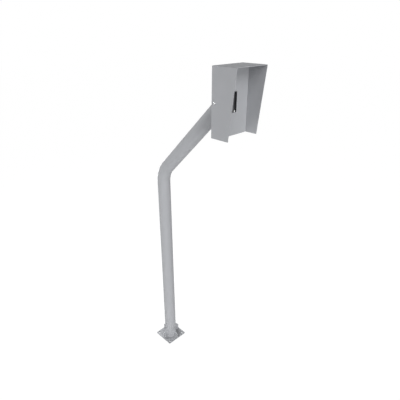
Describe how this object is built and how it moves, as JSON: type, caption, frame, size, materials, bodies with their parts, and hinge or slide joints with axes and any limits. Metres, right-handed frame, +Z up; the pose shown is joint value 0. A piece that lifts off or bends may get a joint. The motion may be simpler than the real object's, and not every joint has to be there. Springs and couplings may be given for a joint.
{
  "type": "card reader pedestal",
  "caption": "Gooseneck pedestal: a bent round tube on a gusseted base plate carries a sheet-metal hood whose face plate has a cut-out for a card reader.",
  "frame": {"origin": "middle of the base plate's underside, on the axis of the upright tube and at the centre of the anchor holes", "axes": "+Z up along the upright; the arm rises towards -Y and the hood faces -Y; +X is to the right of someone who faces +Y"},
  "size_m": [0.1676, 0.5485, 1.5185],
  "materials": {
    "powder_coat": "light grey satin powder coat over welded steel",
    "stainless_steel": "bright stainless screw",
    "zinc_plated_steel": "dull zinc plate"
  },
  "bodies": {
    "root": {"base_plate": "powder_coat", "post_tube": "powder_coat", "gusset_right": "powder_coat", "gusset_rear": "powder_coat", "gusset_left": "powder_coat", "gusset_front": "powder_coat", "foot_weld": "powder_coat", "gusset_foot_welds": "powder_coat", "gusset_post_welds": "powder_coat", "arm_weld": "powder_coat", "hood_shell": "powder_coat", "back_plate": "powder_coat", "hood_welds": "powder_coat", "face_plate": "powder_coat", "face_screws": "stainless_steel", "clinch_nuts": "zinc_plated_steel"}
  },
  "joints": []
}
